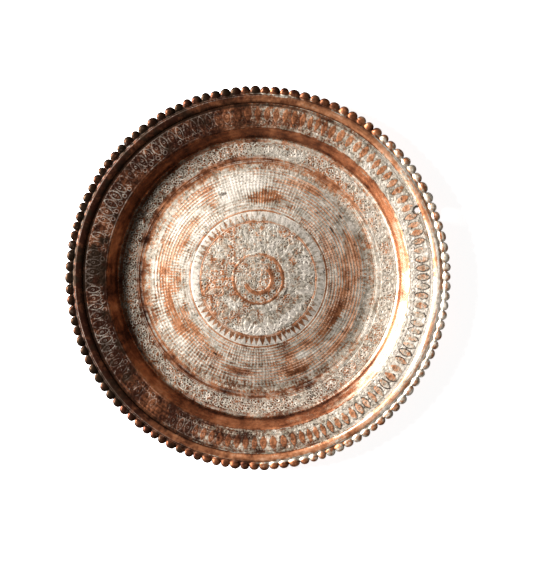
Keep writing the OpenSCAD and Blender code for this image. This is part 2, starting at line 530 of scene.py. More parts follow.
# Places where it is thick and bright, in the same way
BRIGHT_TIN = (
    (300, 61, 5, 3.5, 1.0), (255, 34, 12, 4.5, 0.9), (270, 37, 16, 3.0, 0.9),
    (312, 35, 14, 4.0, 0.8), (20, 33, 8, 4.0, 0.7), (60, 44, 20, 3.0, 0.8),
    (100, 66, 20, 7.0, 0.7), (332, 64, 12, 4.0, 0.6), (45, 91, 30, 2.5, 0.5),
    (80, 88, 24, 3.5, 0.6), (0, 30, 10, 8.0, 0.5), (180, 44, 16, 5.0, 0.6),
)
# Dark stains: direction, radius, half length and half width
DARK_SPOTS = (
    (34, 61, 3.2, 1.1), (37, 71, 2.6, 0.8), (112, 63, 2.5, 1.0), (117, 64, 1.8, 0.8),
    (240, 60, 2.6, 1.0), (295, 90, 3.0, 0.7), (216, 111, 3.4, 4.0), (150, 90, 6.0, 1.4),
    (335, 21, 4.0, 1.0), (326, 14, 3.0, 0.9),
)


def patch(face, degrees, radius, half_along, half_across, ragged):
    """1 inside an uneven patch that is drawn out round the ring."""
    turn = np.angle(np.exp(1j * (face.th - math.radians(degrees))))
    d = np.hypot(turn * radius / half_along, (face.r - radius) / half_across)
    return 1 - smooth(0.45, 1.35, d + 1.6 * (ragged - 0.5))


# Where each part of the face begins and ends, in mm from the centre
FLOOR_END = (96.0, 98.5)
RISING_BORDER = (80.0, 97.0)
WALL = (98.0, 102.6)
SHOULDER = (102.3, 103.2)
FLANGE_START = (102.6, 103.2)

# Tin gained or lost over a ring of the floor: its radii, the softness of its edges, the
# side of the tray it holds for, and the amount.  Rows held to one side paint light and
# shade: tin added there is painted light, tin taken away is painted shade.
FLOOR_RINGS = (
    ((0.0, 80.0), 0.3, "dull", 0.14),
    ((47.0, 78.0), 2.0, "shade", -0.07),
    ((74.5, 84.0), 1.0, "dull", -0.25),
    ((18.0, 46.5), 0.5, "bright", 0.32),
    ((0.0, 39.3), 0.3, "all", -0.35),
    (TEETH, 0.3, "all", 0.06),
    ((78.6, 80.6), 0.6, "all", -0.12),
)


class Wear:
    """Where tin is left, where copper shows, and where soot and chalky dirt lie, with painted
    light and painted shade laid along the sides of the tray.
    """

    def __init__(self, face):
        r, th = face.r, face.th
        self.face = face
        self.broad = blotch(r, th, 38, 101, 3)
        self.mid = blotch(r, th, 9, 103, 4)
        self.small = blotch(r, th, 3.2, 105, 3)
        self.speck = blotch(r, th, 1.2, 106, 2)
        self.drift = blotch(r, th, 22, 119, 3)
        self.drawn = streak(r, th, 1.1, 9, 107, 4)
        self.ragged = 0.45 * blotch(r, th, 5, 109, 4) + 0.55 * streak(r, th, 2.2, 7, 111, 4)
        self.floor = 1 - smooth(*FLOOR_END, r)
        self.border = between(r, RISING_BORDER, 1.5)
        self.wall = between(r, WALL, 0.8)
        self.flange = smooth(*FLANGE_START, r)
        # bright, dull and shade measure how far a point lies towards the painted bright side, the
        # dull side and the side where the floor is painted dark: the masks below are lightened and
        # darkened along them as painted light and painted shade.
        turn = (PAINTED_LIGHT_FLOOR - PAINTED_LIGHT_FLANGE) * smooth(76, 82, r)
        self.bright = facing(th, PAINTED_LIGHT_FLOOR - turn)
        self.dull = 1 - self.bright
        self.shade = facing(th, PAINTED_SHADE_FLOOR)

    def copper_rings(self):
        """Rings between the bands that are rubbed down to copper."""
        r, th = self.face.r, self.face.th
        half_round = smooth(-0.1, 0.5, np.cos(2 * th - 1.0) + 0.3 * np.cos(th))
        return (
            centre_ring(r, th, 0.3)
            + between(r, (16.2, 18.4), 0.25) * half_round
            + between(r, (39.2, 40.6), 0.25)
            + between(r, (46.9, 47.9), 0.3)
        )

    def floor_tin(self):
        face, r, th = self.face, self.face.r, self.face.th
        cover = mixed(
            0.66, (self.drawn, 0.40), (self.mid, 0.60), (self.broad, 0.20), (self.speck, 0.60)
        )
        cover += 0.26 * face.comb + 0.13 * face.hatch + 0.60 * face.bright
        sides = {"all": 1.0, "bright": self.bright, "dull": self.dull, "shade": self.shade}
        for span, soft, side, amount in FLOOR_RINGS:
            cover += amount * sides[side] * between(r, span, soft)
        for patches, gain in ((WORN_PATCHES, -0.50), (BRIGHT_TIN, 0.55)):
            for *place, strength in patches:
                cover += gain * strength * patch(face, *place, self.ragged)
        cover -= 0.85 * self.copper_rings() * smooth(0.30, 0.46, self.mid)
        cover += 1.35 * (self.mid - 0.5) * between(r, MEDALLION)
        # Painted shade: the rising border loses tin on the dull side, as shade cast by the wall.
        cover -= 0.36 * self.border * self.dull ** 0.7
        rubbed = 0.30 + 0.45 * smooth(-0.3, 0.5, np.cos(th - math.radians(220)))
        return cover - rubbed * face.panel * smooth(0.34, 0.52, streak(r, th, 30, 9, 113, 3))

    def flange_tin(self):
        half_lit = smooth(0.25, 0.42, self.bright) * (1 - smooth(0.50, 0.75, self.bright))
        cover = mixed(0.24, (self.mid, 0.70), (self.drawn, 0.50), (self.speck, 0.50))
        # Painted light: tin thickens towards the bright side, where the flange faces the light,
        # and the leaves lose more tin there.
        cover += 1.20 * (self.bright - 0.45) + 0.14 * half_lit
        return cover - (0.20 + 0.16 * self.bright) * self.face.leaf

    def wall_tin(self):
        cover = mixed(0.0, (self.drawn, 0.70), (self.mid, 0.50))
        # Painted light: the wall holds more tin on the bright side and on the side where the floor
        # is painted dark.
        cover += 0.40 * smooth(0.6, 1.0, self.bright)
        return cover + 0.26 * smooth(0.7, 0.95, self.shade)

    def tin(self):
        face = self.face
        cover = self.floor * self.floor_tin() + self.wall * self.wall_tin()
        cover += self.flange * self.flange_tin()
        rim_of_wall = between(face.r, SHOULDER, 0.25) * smooth(0.36, 0.56, self.small)
        # Painted light and shade: the wall's rim holds more tin on the bright side, and the drawn
        # tin is taken off the flange on the dull side and off its leaves on the bright side.
        cover = np.maximum(cover, (0.30 + 0.35 * self.bright) * rim_of_wall)
        kept = 1 - self.flange * (0.55 * self.dull + 0.5 * face.leaf * self.bright)
        drawn_tin = face.tin * mixed(0.75, (self.small, 0.5)) * kept
        return np.clip(np.maximum(cover, drawn_tin), 0, 1)

    def cuts(self):
        """Chalky dirt that is kept in the cuts, in the combed lines and in patches; on the
        flange it thins on the bright side and its patches grow on the dull side, as painted
        light and painted shade.
        """
        face, bright = self.face, self.bright
        kept = smooth(0.32, 0.60, 0.4 * self.drift + 0.3 * self.mid + 0.3 * self.small)
        cut = face.cut * (0.20 + 0.80 * kept) * (1 - self.flange * (0.24 + 0.42 * bright))
        chalk = smooth(0.55, 0.72, 0.3 * self.drift + 0.2 * self.mid + 0.5 * self.speck)
        cut = np.maximum(cut, chalk * (0.30 * self.floor + 0.32 * self.flange * (1.1 - bright)))
        combed = smooth(0.1, 0.9, -face.comb) + 0.4 * smooth(0.2, 0.9, -face.hatch)
        return np.maximum(cut, 0.50 * combed) * (1 - np.abs(face.bright).clip(0, 1))

    def grime_and_shade(self):
        """A film of soot, thickened on the dull and shaded sides as painted shade, dark pits, a
        patchy dark band at the wall's foot, and stains.
        """
        face, r, th = self.face, self.face.r, self.face.th
        film = 0.55 * smooth(0.46, 0.72, blotch(r, th, 11, 115, 4))
        outer_floor = between(r, (47.0, 84.0), 2.0)
        # Painted shade: the soot film is thickened on the outer floor towards its painted-dark
        # side, and on the flange and the rising border on the dull side, where a plain dark film
        # is added as well.
        film *= (
            (0.24 + 0.42 * self.shade * outer_floor) * self.floor
            + 0.50 * self.wall
            + (0.40 + 0.75 * self.dull) * self.flange
        )
        film += (0.34 * self.flange + 0.20 * self.border) * self.dull
        pits = 0.8 * smooth(0.60, 0.74, blotch(r, th, 0.9, 117, 2)) * (1 - self.wall)
        foot = 0.55 * between(r, (96.0, 98.6), 0.8) * smooth(0.35, 0.6, self.mid)
        grime_and_shade = np.maximum.reduce([face.grime_and_shade, film, pits, foot])
        for place in DARK_SPOTS:
            grime_and_shade = np.maximum(grime_and_shade, 0.8 * patch(face, *place, self.ragged))
        return grime_and_shade

    def warmth(self):
        """How light and orange the copper is, with painted light and painted shade laid by side.
        """
        face = self.face
        # Painted light and shade: the copper is darker on the floor's painted-dark side and
        # lighter on the wall there, lighter on the flange towards the bright side, and darker on
        # the rising border on the dull side.
        tone = (0.72 - 0.12 * self.shade) * self.floor + (0.28 + 0.36 * self.shade) * self.wall
        tone += self.flange * ((0.66 + 0.30 * face.leaf) * self.bright - 0.10)
        tone -= 0.38 * self.border * self.dull
        tone = mixed(tone, (self.broad, 0.9), (self.mid, 0.8), (self.drawn, 0.5))
        return np.clip(face.warm + tone, 0, 1)


def wear_face(face):
    wear_and_painted_light = Wear(face)
    face.tin, face.cut, face.grime_and_shade, face.warm = (
        wear_and_painted_light.tin(), wear_and_painted_light.cuts(), wear_and_painted_light.grime_and_shade(), wear_and_painted_light.warmth()
    )


def sheet_free(r):
    """0 where the sheet is gripped by the rim strip, 1 elsewhere."""
    return 1 - smooth(112.0, 118.8, r)


def face_detail(r, th):
    """Height above the mean face in mm, and the four masks."""
    face = Face(r, th)
    for draw in (
        draw_field, draw_centre, draw_medallion, draw_teeth, draw_ticks, draw_border,
        draw_leaf_band, draw_hole, wear_face,
    ):
        draw(face)
    swell = np.clip((r - 68) / 12, 0, 1) ** 2 * (1 - smooth(97.0, 101.0, r))
    hammered = (hammer(r, th, 8.5, 121) - 0.45) * (0.4 + 0.6 * smooth(47, 50, r))
    uneven = (blotch(r, th, 60, 123, 2) - 0.5) * smooth(5, 40, r) * sheet_free(r)
    face.h += 0.25 * swell + 0.09 * hammered + 0.35 * uneven
    face.h *= 1 - smooth(118.2, 118.5, r)
    return face.h, face.masks()


def back_detail(r, th):
    """The underside: hammer facets and a fire-darkened skin."""
    outside = smooth(88.0, 92.0, r)
    h = -0.16 * (hammer(r, th, 7.5, 131) - 0.45) * outside * sheet_free(r)
    h -= 0.05 * (hammer(r, th, 9.0, 133) - 0.45) * (1 - outside)
    face = Face(r, th)
    fire, drawn = blotch(r, th, 30, 137, 4), streak(r, th, 2.0, 12, 139, 3)
    face.tin = 0.20 * smooth(0.55, 0.75, blotch(r, th, 14, 135, 4))
    face.grime_and_shade = mixed(0.35, (fire, 0.9), (drawn, 0.3))
    face.warm = mixed(0.30, (blotch(r, th, 20, 141, 4), 0.9))
    return h, face.masks()


# ======== the sheet's section
class Section:
    """The sheet's middle line from the centre to its edge, by length along it."""

    def __init__(self):
        half_t = SHEET_T / 2
        foot = (FLOOR_R, half_t + FOOT_RISE)
        shoulder = (WALL_TOP_R, half_t + WELL_DEPTH)
        border_angle = math.atan2(FOOT_RISE, FLOOR_R - FLAT_R)
        wall_angle = math.atan2(WELL_DEPTH - FOOT_RISE, WALL_TOP_R - FLOOR_R)
        self.pts = [(0.0, half_t, 0.0, 1.0)]
        self.add_line(FLAT_R, half_t, 100)
        self.add_bend(foot, border_angle, wall_angle, FOOT_BEND, (20, 24))
        self.add_bend(shoulder, wall_angle, FLANGE_SLOPE, SHOULDER_BEND, (30, 18))
        self.add_line(SHEET_EDGE_R, flange_z(SHEET_EDGE_R), 40)
        self.pts = np.array(self.pts)
        steps = np.hypot(*np.diff(self.pts[:, :2], axis=0).T)
        self.s = np.concatenate([[0.0], np.cumsum(steps)])
        self.length = self.s[-1]

    def add_line(self, x1, z1, steps):
        x0, z0 = self.pts[-1][:2]
        length = math.hypot(x1 - x0, z1 - z0)
        nx, nz = -(z1 - z0) / length, (x1 - x0) / length
        self.pts[-1] = (x0, z0, nx, nz)
        for k in range(1, steps + 1):
            f = k / steps
            self.pts.append((x0 + f * (x1 - x0), z0 + f * (z1 - z0), nx, nz))

    def add_bend(self, corner, angle_in, angle_out, radius, steps):
        """The straight run up to a rounded corner, and the bend round it."""
        turn = angle_out - angle_in
        run = radius * math.tan(abs(turn) / 2)
        reach = math.copysign(radius, turn)
        x = corner[0] - run * math.cos(angle_in)
        z = corner[1] - run * math.sin(angle_in)
        self.add_line(x, z, steps[0])
        centre_x, centre_z = x - reach * math.sin(angle_in), z + reach * math.cos(angle_in)
        for k in range(1, steps[1] + 1):
            angle = angle_in + turn * k / steps[1]
            nx, nz = -math.sin(angle), math.cos(angle)
            self.pts.append((centre_x - reach * nx, centre_z - reach * nz, nx, nz))

    def at(self, s):
        """Radius, height and face normal at lengths s."""
        return [np.interp(s, self.s, self.pts[:, k]) for k in range(4)]

    def length_at_radius(self, r):
        return float(np.interp(r, self.pts[:, 0], self.s))


def flange_z(r):
    return SHEET_T / 2 + WELL_DEPTH + (r - WALL_TOP_R) * math.tan(FLANGE_SLOPE)


SECTION = Section()


# ======== mesh building
def put_in_scene(name, data):
    """A new object with this mesh, light or camera."""
    thing = bpy.data.objects.new(name, data)
    bpy.context.scene.collection.objects.link(thing)
    return thing


class Skin:
    """Rings of points round the axis, joined in their order into one closed mesh."""

    def __init__(self):
        self.points, self.masks = [], []
        self.rows, self.folds = [], []
        self.faces = []
        self.total = 0

    def add_row(self, xyz, masks, side):
        """side is the material slot of the faces that lead to this row."""
        self.points.append(xyz)
        self.masks.append(masks)
        self.rows.append((self.total, len(xyz), side))
        self.total += len(xyz)

    def join(self, a, b):
        """Quads between rings of one count, triangles to a pole or where it doubles."""
        (sa, na, before), (sb, nb, side) = self.rows[a], self.rows[b]
        if before != side:
            self.folds += [a, b]
        i = np.arange(min(na, nb)) if min(na, nb) > 1 else np.arange(max(na, nb))
        after = (i + 1) % len(i)
        if na == 1:
            faces = [(0 * i + sa, sb + i, sb + after)]
        elif nb == 1:
            faces = [(sa + i, 0 * i + sb, sa + after)]
        elif na == nb:
            faces = [(sa + i, sb + i, sb + after, sa + after)]
        elif nb == 2 * na:
            b0, b1, b2 = sb + 2 * i, sb + 2 * i + 1, sb + (2 * i + 2) % nb
            faces = [(sa + i, b0, b1), (sa + i, b1, sa + after), (sa + after, b1, b2)]
        else:
            a0, a1, a2 = sa + 2 * i, sa + 2 * i + 1, sa + (2 * i + 2) % na
            faces = [(a0, sb + i, a1), (a1, sb + i, sb + after), (a1, sb + after, a2)]
        self.faces += [(np.stack(corners, axis=1), side) for corners in faces]

    def build(self, name, materials, closed):
        for k in range(len(self.rows) - 1):
            self.join(k, k + 1)
        if closed:
            self.join(len(self.rows) - 1, 0)
        self.faces.sort(key=lambda entry: entry[0].shape[1])
        corners = np.concatenate([faces.ravel() for faces, side in self.faces])
        sides = np.concatenate([np.full(len(faces), side) for faces, side in self.faces])
        sizes = np.concatenate([np.full(len(faces), faces.shape[1]) for faces, side in self.faces])
        points = np.concatenate(self.points) * MM
        mesh = bpy.data.meshes.new(name)
        mesh.vertices.add(len(points))
        mesh.vertices.foreach_set("co", points.ravel())
        mesh.loops.add(len(corners))
        mesh.loops.foreach_set("vertex_index", corners)
        mesh.polygons.add(len(sizes))
        mesh.polygons.foreach_set("loop_start", np.cumsum(sizes) - sizes)
        mesh.polygons.foreach_set("material_index", sides)
        mesh.update(calc_edges=True)
        mesh.validate()
        mesh.shade_smooth()
        self.sharpen_folds(mesh)
        wear_and_painted_light = mesh.color_attributes.new("wear_and_painted_light", "FLOAT_COLOR", "POINT")
        wear_and_painted_light.data.foreach_set("color", np.concatenate(self.masks).ravel())
        for material in materials:
            mesh.materials.append(material)
        return put_in_scene(name, mesh)

    def sharpen_folds(self, mesh):
        """Marks the edges along each ring where the material changes."""
        row_of = np.repeat(np.arange(len(self.rows)), [row[1] for row in self.rows])
        ends = np.empty(2 * len(mesh.edges), dtype=np.int32)
        mesh.edges.foreach_get("vertices", ends)
        one, other = row_of[ends].reshape(-1, 2).T
        along_fold = (one == other) & np.isin(one, self.folds)
        mesh.edges.foreach_set("use_edge_sharp", along_fold)


FACE, BACK = 0, 1
TIN_END = SECTION.length_at_radius(LIP_R - 0.05)


def doubling_count(r, grid):
    """Points in a ring near the centre: they double as the ring grows."""
    count = 24
    while count * grid * 1.5 < TAU * r:
        count *= 2
    return count


def sheet_zone(name, materials, s_in, s_out, grid, back_grid, count=None):
    """A closed ring of the sheet, face and back, between two lengths along it."""
    skin = Skin()
    seen_end = min(s_out, TIN_END)
    face_s = np.linspace(s_in, seen_end, round((seen_end - s_in) / grid) + 1)
    if s_out > seen_end:
        hidden = np.linspace(seen_end, s_out, round((s_out - seen_end) / back_grid) + 1)
        face_s = np.concatenate([face_s, hidden[1:]])
    back_s = np.linspace(s_out, s_in, round((s_out - s_in) / back_grid) + 1)
    for side, lengths, detail in ((FACE, face_s, face_detail), (BACK, back_s, back_detail)):
        radii = SECTION.at(lengths)[0]
        counts = [
            1 if s <= 0 else count or doubling_count(r, grid) for s, r in zip(lengths, radii)
        ]
        th = np.concatenate([np.arange(n) * TAU / n for n in counts])
        s = np.repeat(lengths, counts)
        r, z, nr, nz = SECTION.at(s)
        d = SHEET_T / 2 + TIN_T * (s < TIN_END) if side == FACE else -SHEET_T / 2
        h, masks = detail(np.maximum(r + nr * d, 0.01), th)
        d = d + h
        rr = np.maximum(r + nr * d, 0)
        xyz = np.stack([rr * np.cos(th), rr * np.sin(th), z + nz * d], axis=1)
        cuts = np.cumsum(counts)[:-1]
        for row, row_masks in zip(np.split(xyz, cuts), np.split(masks, cuts)):
            skin.add_row(row, row_masks, side)
    return skin.build(name, materials, closed=s_in > 0)


def make_sheet(materials):
    """The copper sheet and its tin, in rings that each carry their own detail."""
    at = SECTION.length_at_radius
    edges = [0.0, at(40.0), at(75.1), at(94.6), at(103.0), SECTION.length]
    names = ("floor_medallion", "floor_field", "floor_border", "wall", "flange")
    grids = (0.34, 0.42, 0.36, 0.42, 0.38)
    counts = (None, 900, 1400, 1100, 1560)
    return [
        sheet_zone(name, materials, edges[k], edges[k + 1], grids[k], 1.6, counts[k])
        for k, name in enumerate(names)
    ]


def punch_hole(flange):
    """Cuts the hanging hole square through the flange, with a slightly torn edge."""
    rng = np.random.default_rng(7)
    sides = 40
    mesh = bpy.data.meshes.new("hole_tool")
    bm = bmesh.new()
    low, high = [], []
    for ring, up in ((low, -4.0), (high, 4.0)):
        for k in range(sides):
            a = TAU * k / sides
            radius = HOLE_R * (1 + 0.03 * rng.uniform(-1, 1))
            ring.append(bm.verts.new((radius * math.cos(a), radius * math.sin(a), up)))
    for k in range(-1, sides - 1):
        bm.faces.new((low[k], low[k + 1], high[k + 1], high[k]))
    bm.faces.new(low[::-1])
    bm.faces.new(high)
    bm.to_mesh(mesh)
    bm.free()
    lean = Matrix.Rotation(-FLANGE_SLOPE, 4, "Y")
    turn = Matrix.Rotation(HOLE_ANGLE, 4, "Z")
    place = Matrix.Translation((HOLE_RING_R, 0, flange_z(HOLE_RING_R)))
    mesh.transform(Matrix.Scale(MM, 4) @ turn @ place @ lean)
    tool = put_in_scene("hole_tool", mesh)
    cut = flange.modifiers.new("hole", "BOOLEAN")
    cut.object = tool
    cut.operation = "DIFFERENCE"
    cut.solver = "MANIFOLD"
    apply_modifiers(flange)
    bpy.data.objects.remove(tool)
    bpy.data.meshes.remove(mesh)


def apply_modifiers(piece):
    depsgraph = bpy.context.evaluated_depsgraph_get()
    done = bpy.data.meshes.new_from_object(piece.evaluated_get(depsgraph))
    piece.modifiers.clear()
    old = piece.data
    piece.data = done
    name = old.name
    bpy.data.meshes.remove(old)
    done.name = name


# ======== the rim strip
def scallop_columns():
    """The angle of each of the rim's columns, with scallops of uneven width, its place
    across its own scallop, from -1 to 1, and that scallop's number."""
    rng = np.random.default_rng(5)
    widths = 1 + 0.09 * rng.normal(size=SCALLOPS).clip(-2, 2)
    edges = np.concatenate([[0], np.cumsum(widths)]) * TAU / widths.sum()
    k = np.repeat(np.arange(SCALLOPS), PER_SCALLOP)
    f = np.tile(np.arange(PER_SCALLOP) / PER_SCALLOP, SCALLOPS)
    th = edges[k] + f * (edges[k + 1] - edges[k])
    return th, 2 * f - 1, k


def flange_point(r, n, th):
    """A point above the flange's middle surface, by radius along it and height n."""
    rr = r - n * math.sin(FLANGE_SLOPE)
    z = flange_z(r) + n * math.cos(FLANGE_SLOPE)
    return np.stack([rr * np.cos(th), rr * np.sin(th), z], axis=1)


def roll(r):
    """Height of the strip's low roll over its lip and fold."""
    t = np.clip(np.abs(r - ROLL_R) / ROLL_HALF, 0, 1)
    return ROLL_UP * (1 - t ** 3)


def rim_masks(r, th, crown=0.0, edge=0.0):
    """Wear of the strip: red copper along the roll, grey leaf, dark edges, with painted light
    on the bright side and painted shade on the dull side.  crown is 1 on top of a bead, and
    edge is 1 in the dark notches round it."""
    face = Face(r, th)
    drawn = streak(r, th, 1.3, 8, 201, 4)
    mid = blotch(r, th, 7, 203, 4)
    speck = blotch(r, th, 1.2, 206, 2)
    bright = facing(th, PAINTED_LIGHT_RIM)
    outer = smooth(122.8, 124.2, r)
    on_roll = smooth(118.9, 119.8, r) * (1 - outer)
    streaks = smooth(0.42, 0.58, streak(r, th, 1.0, 12, 213, 3))

    # Painted light: tin thickens towards the bright side, and copper streaks on the roll show only
    # there.
    face.tin = 0.16 - 0.20 * on_roll * (1.3 - bright) + 1.45 * (bright - 0.50)
    face.tin = mixed(face.tin, (mid, 1.0), (drawn, 2.2 * (1 - 0.7 * crown)), (speck, 0.7))
    face.tin -= 0.24 * crown + 0.60 * bright * streaks * between(r, (119.6, 123.0), 0.6)

    for at in LEAF_LINES:
        face.cut = np.maximum(face.cut, 0.6 * ring_line(r, at, 0.4) * (1 - crown))
    chalk = smooth(0.48, 0.70, 0.5 * mid + 0.5 * speck)
    # The chalk and the leaf lines thin on the bright side and thicken on the dull side: painted
    # light and shade in the cuts.
    chalk = chalk * (1.15 - bright) * (0.10 + 0.40 * outer)
    face.cut = np.maximum(face.cut * (1.1 - 0.6 * bright), chalk) * (1 - 0.8 * edge)

    # Painted shade: the seam darkens towards the dull side, and the soot film thickens there, most
    # on the outer leaf and on the crowns.
    seam = 1 - smooth(0.3, 1.0, r - LIP_R)
    film = smooth(0.40, 0.68, blotch(r, th, 9, 205, 4)) * (0.80 - 0.78 * bright)
    film += (1 - bright) * (0.15 + 0.28 * outer + 0.25 * crown)
    face.grime_and_shade = np.maximum(np.maximum((0.85 - 0.50 * bright) * seam, film), edge)

    # Painted light and shade: the copper is lighter towards the bright side, most on the roll, and
    # the crowns are darker on the dull side.
    face.warm = 0.95 * bright - 0.22 + 0.30 * on_roll * smooth(0.15, 0.45, bright)
    face.warm = mixed(face.warm, (mid, 0.8), (drawn, 0.5))
    face.warm -= 0.2 * crown * (1 - bright) + 0.2 * edge
    return face.masks()


def bead(r, across, bend):
    """How far inside its bead a point lies: 0 in the middle, 1 at the bead's edge."""
    return np.hypot((r - BEAD_R) / BEAD_SIZE, across * 0.94 + 0.05 * bend)


def make_rim(materials):
    """The folded strip: low roll over the wire, lined leaf, and beaded scallops."""
    th, across, k = scallop_columns()
    rng = np.random.default_rng(9)
    tip = TIP_R - 0.55 * rng.uniform(0, 1, SCALLOPS)[k]
    lift = 1 + 0.22 * rng.uniform(-1, 1, SCALLOPS)[k]
    bend = rng.uniform(-1, 1, SCALLOPS)[k]
    reach = np.sqrt(np.maximum(SCALLOP_R ** 2 - (across * 3.52) ** 2, 0)) / SCALLOP_R
    outline = FOLD_R + reach * (tip - FOLD_R)
    half_t = SHEET_T / 2
    ones = np.ones_like(th)
    skin = Skin()

    def add(r, n, masks, side):
        skin.add_row(flange_point(r, n * ones, th), masks, side)

    def bead_row(r, base):
        d = bead(r, across, bend)
        dome = np.maximum(1 - d ** 2.6, 0) ** 0.7
        n = base + (BEAD_UP * lift - base) * dome + 0.12 * bend * across * dome
        n = np.maximum(n, base * (r < 126.0))
        edge = smooth(0.66, 0.95, d) * smooth(126.2, 128.2, r)
        notch = smooth(0.80, 1.0, np.abs(across)) * smooth(125.8, 127.0, r)
        edge = np.maximum(edge, 0.9 * notch)
        add(r, n, rim_masks(r, th, crown=dome * smooth(124.6, 126.0, r), edge=edge), FACE)

    add(LIP_R * ones, half_t, rim_masks(LIP_R * ones, th), FACE)
    for r0 in np.linspace(LIP_R + 0.02, 126.2, 27):
        r = r0 + 0.10 * (streak(r0 * ones, th, 3, 30, 207, 2) - 0.5)
        n = half_t + STRIP_T - 0.05 + roll(r)
        for at in LEAF_LINES:
            n = n - 0.05 * ring_line(r, at, 0.4)
        n = n + 0.12 * (blotch(r, th, 6, 209, 3) - 0.5) * smooth(LIP_R, LIP_R + 0.6, r0)
        bead_row(r, n)
    for t in (0.06, 0.16, 0.28, 0.40, 0.52, 0.64, 0.76, 0.86, 0.94, 1.0):
        r = FOLD_R + t * (outline - FOLD_R)
        bead_row(r, (0.60 - 0.55 * t) * ones)

    for t in (1.0, 0.85, 0.6, 0.3):
        r = FOLD_R + t * (outline - FOLD_R)
        swell = np.sqrt(np.maximum(1 - (across * 1.02) ** 2, 0)) * (1 - t ** 3)
        add(r, -0.45 - 0.75 * swell, back_detail(r, th)[1], BACK)
    for r0 in (126.2, 125.0, 123.8, 122.6, 121.4, 120.6, BACK_LIP_R):
        r = r0 * ones
        n = -half_t - STRIP_T + 0.10 * (blotch(r, th, 6, 211, 3) - 0.5)
        add(r, n, back_detail(r, th)[1], BACK)
    # the fold's inside lies against the sheet's two faces, and its solid holds the wire
    slot_round_sheet = (
        (BACK_LIP_R, -half_t), (123.0, -half_t), (SHEET_EDGE_R, -half_t),
        (SHEET_EDGE_R, half_t), (122.0, half_t),
    )
    for r0, n in slot_round_sheet:
        add(r0 * ones, n, back_detail(r0 * ones, th)[1], BACK)
    return skin.build("rim_strip", materials, closed=True)


# ======== materials
class Graph:
    """Short names for the nodes that the metals are made of."""

    def __init__(self, name):
        self.material = bpy.data.materials.new(name)
        self.material.use_nodes = True
        self.tree = self.material.node_tree
        self.shader = self.tree.nodes["Principled BSDF"]
        self.place = self.tree.nodes.new("ShaderNodeTexCoord").outputs["Object"]

    def link(self, value, socket):
        if isinstance(value, bpy.types.NodeSocket):
            self.tree.links.new(value, socket)
        elif value is not None:
            socket.default_value = value

    def node(self, kind, inputs=(), **settings):
        """A new node; inputs is a row of values in order, or values by name."""
        node = self.tree.nodes.new(kind)
        for key, value in settings.items():
            setattr(node, key, value)
        named = inputs if isinstance(inputs, dict) else dict(enumerate(inputs))
        for key, value in named.items():
            self.link(value, node.inputs[key])
        return node

    def math(self, operation, a, b=None, c=None):
        return self.node("ShaderNodeMath", (a, b, c), operation=operation).outputs[0]

    def vector(self, operation, *inputs, out="Vector"):
        return self.node("ShaderNodeVectorMath", inputs, operation=operation).outputs[out]

    def noise(self, scale, detail, roughness=0.55):
        inputs = {"Vector": self.place, "Scale": scale, "Detail": detail, "Roughness": roughness}
        return self.node("ShaderNodeTexNoise", inputs).outputs["Fac"]

    def step(self, value, low, high, to_low=0.0, to_high=1.0):
        """A soft step of value, from to_low below low to to_high above high."""
        inputs = {
            "Value": value, "From Min": low, "From Max": high, "To Min": to_low, "To Max": to_high,
        }
        node = self.node("ShaderNodeMapRange", inputs, interpolation_type="SMOOTHSTEP")
        return node.outputs["Result"]

    def spread(self, base, *terms):
        """base plus each (noise, amount), with the noise taken about its middle."""
        for value, amount in terms:
            centred = self.math("SUBTRACT", value, 0.5)
            base = self.math("MULTIPLY_ADD", centred, amount, base)
        return base

    def ramp(self, value, stops):
        node = self.node("ShaderNodeValToRGB", (value,))
        elements = node.color_ramp.elements
        while len(elements) < len(stops):
            elements.new(0.5)
        for element, (at, colour) in zip(elements, stops):
            element.position = at
            element.color = (*colour, 1.0)
        return node.outputs["Color"]

    def mix(self, factor, a, b):
        a, b = ((*c, 1.0) if isinstance(c, tuple) else c for c in (a, b))
        return self.node("ShaderNodeMix", {0: factor, 6: a, 7: b}, data_type="RGBA").outputs[2]


# Colours of dark to light copper, of thin to thick tin, and of chalky dirt
COPPER_STOPS = (
    (0.00, (0.055, 0.018, 0.010)),
    (0.35, (0.245, 0.086, 0.038)),
    (0.70, (0.520, 0.213, 0.098)),
    (1.00, (0.720, 0.395, 0.240)),
)
TIN_STOPS = (
    (0.00, (0.195, 0.160, 0.108)),
    (0.45, (0.430, 0.370, 0.275)),
    (1.00, (0.880, 0.775, 0.665)),
)
CHALK_STOPS = (
    (0.25, (0.045, 0.038, 0.028)),
    (0.75, (0.225, 0.202, 0.163)),
)
# Dark brown for soot, used also as painted shade where the grime mask holds it.
SOOT_AND_SHADE = (0.030, 0.017, 0.010)

# Masks are sharpened between these values, after noise has frayed their edges
TIN_EDGE = (0.32, 0.68)
CHALK_EDGE = (0.25, 0.85)
SOOT_EDGE = (0.30, 0.95)

# The direction of the tray's bright side; the flange is rougher towards it and the floor
# a little smoother.  The radii where floor, wall and flange meet are in metres here.
BRIGHT_WAY = (0.914, -0.407, 0.0)
FLOOR_TO_FLANGE = (0.0740, 0.0800)
WALL_FOOT = (0.0970, 0.0985)
WALL_TOP = (0.1020, 0.1032)


